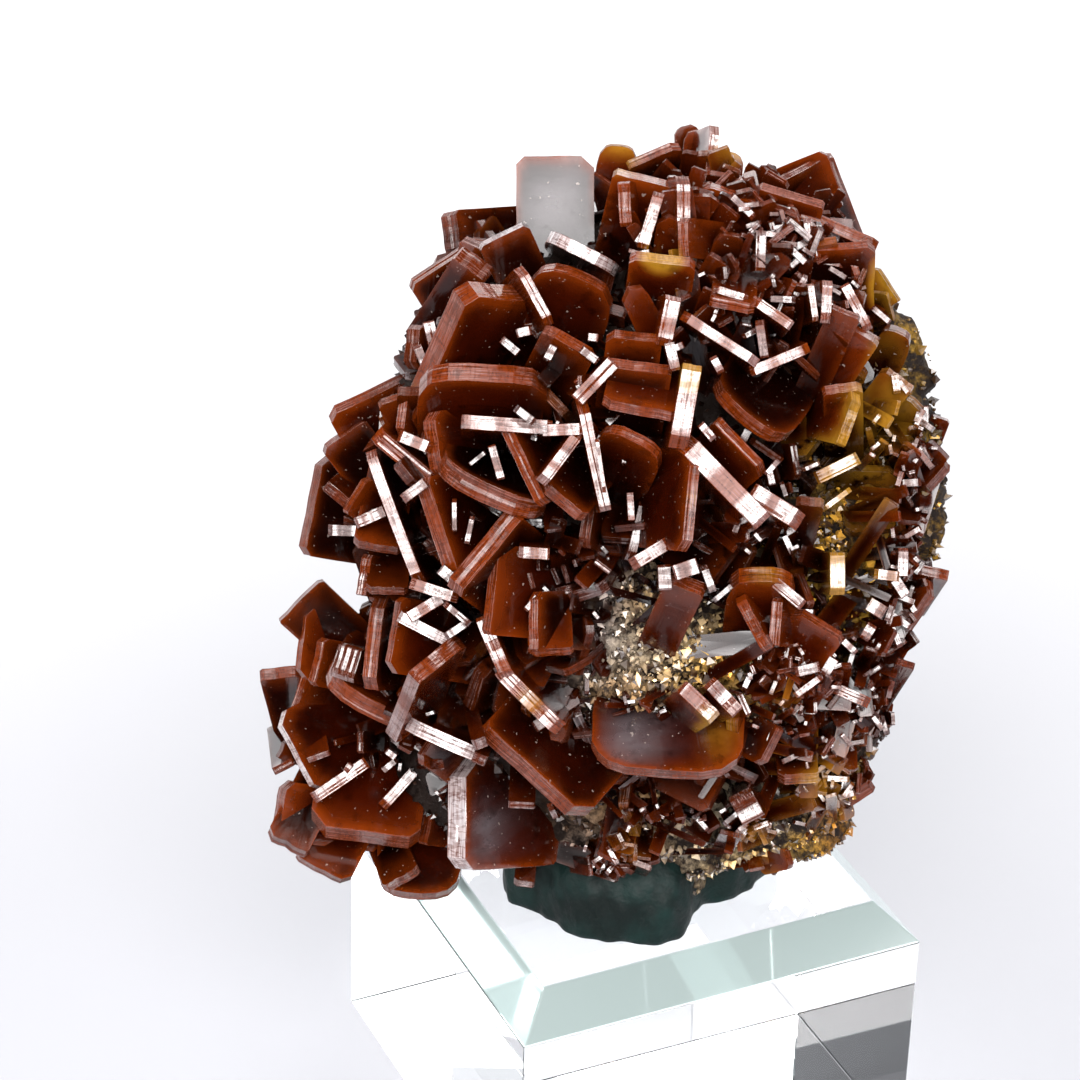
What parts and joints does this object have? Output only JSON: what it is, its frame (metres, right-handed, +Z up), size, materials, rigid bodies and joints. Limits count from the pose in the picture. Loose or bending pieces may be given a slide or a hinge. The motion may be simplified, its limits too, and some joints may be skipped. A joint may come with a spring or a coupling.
{
  "type": "wulfenite on matrix",
  "caption": "Cluster of tabular orange-brown crystals on a lumpy rock matrix, set in dark putty on a clear block with a chamfered top.",
  "frame": {"origin": "centre of the block's underside", "axes": "+Z up through the specimen, -Y towards the shown face of the specimen, +X to that viewer's right; the block stands turned 25.7 degrees about Z"},
  "size_m": [0.0582, 0.0522, 0.0934],
  "materials": {
    "wulfenite": "adamantine, translucent at thin edges",
    "rock": "rough rock coated with fine crystals",
    "putty": "satin",
    "acrylic": "polished clear"
  },
  "bodies": {
    "root": {"acrylic_block": "acrylic", "matrix": "rock", "putty": "putty", "wulfenite_cluster_01": "wulfenite", "wulfenite_cluster_02": "wulfenite", "wulfenite_cluster_03": "wulfenite", "wulfenite_cluster_04": "wulfenite", "wulfenite_cluster_05": "wulfenite", "wulfenite_cluster_06": "wulfenite", "wulfenite_crystal_07": "wulfenite", "wulfenite_crystal_08": "wulfenite", "wulfenite_crystal_09": "wulfenite", "wulfenite_crystal_10": "wulfenite", "wulfenite_crystal_11": "wulfenite", "wulfenite_crystal_12": "wulfenite", "wulfenite_crystal_13": "wulfenite", "wulfenite_crystal_14": "wulfenite", "wulfenite_crystal_15": "wulfenite", "wulfenite_crystal_16": "wulfenite", "wulfenite_crystal_17": "wulfenite", "wulfenite_crystal_18": "wulfenite", "wulfenite_crystal_19": "wulfenite", "wulfenite_crystal_20": "wulfenite", "wulfenite_crystal_21": "wulfenite", "wulfenite_crystal_22": "wulfenite", "wulfenite_crystal_23": "wulfenite"}
  },
  "joints": []
}
